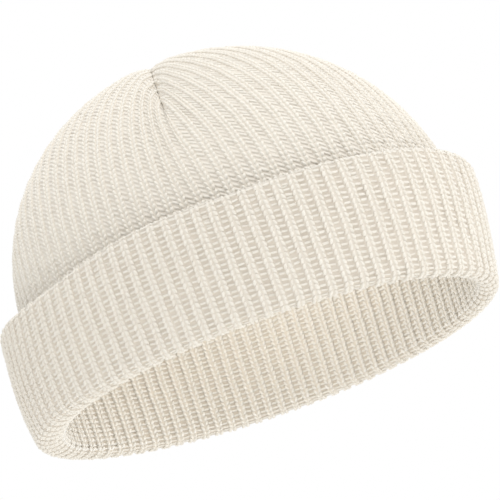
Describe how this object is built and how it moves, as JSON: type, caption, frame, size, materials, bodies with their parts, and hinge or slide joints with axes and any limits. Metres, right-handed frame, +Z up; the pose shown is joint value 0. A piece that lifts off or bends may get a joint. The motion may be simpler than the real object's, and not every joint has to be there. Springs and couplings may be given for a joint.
{
  "type": "fisherman beanie",
  "caption": "Short rib-knit cap with a rounded crown closed by darts and a wide turned-up cuff, in the form it has when worn.",
  "frame": {"origin": "middle of the head opening, in the plane of the cuff's fold", "axes": "+Z up through the crown, -Y towards the front of the cap, -X towards the wearer's right side"},
  "size_m": [0.1839, 0.2373, 0.1539],
  "materials": {
    "knit": "chunky undyed rib knit, matt with a soft fuzz"
  },
  "bodies": {
    "root": {"crown": "knit", "cuff": "knit"}
  },
  "joints": []
}
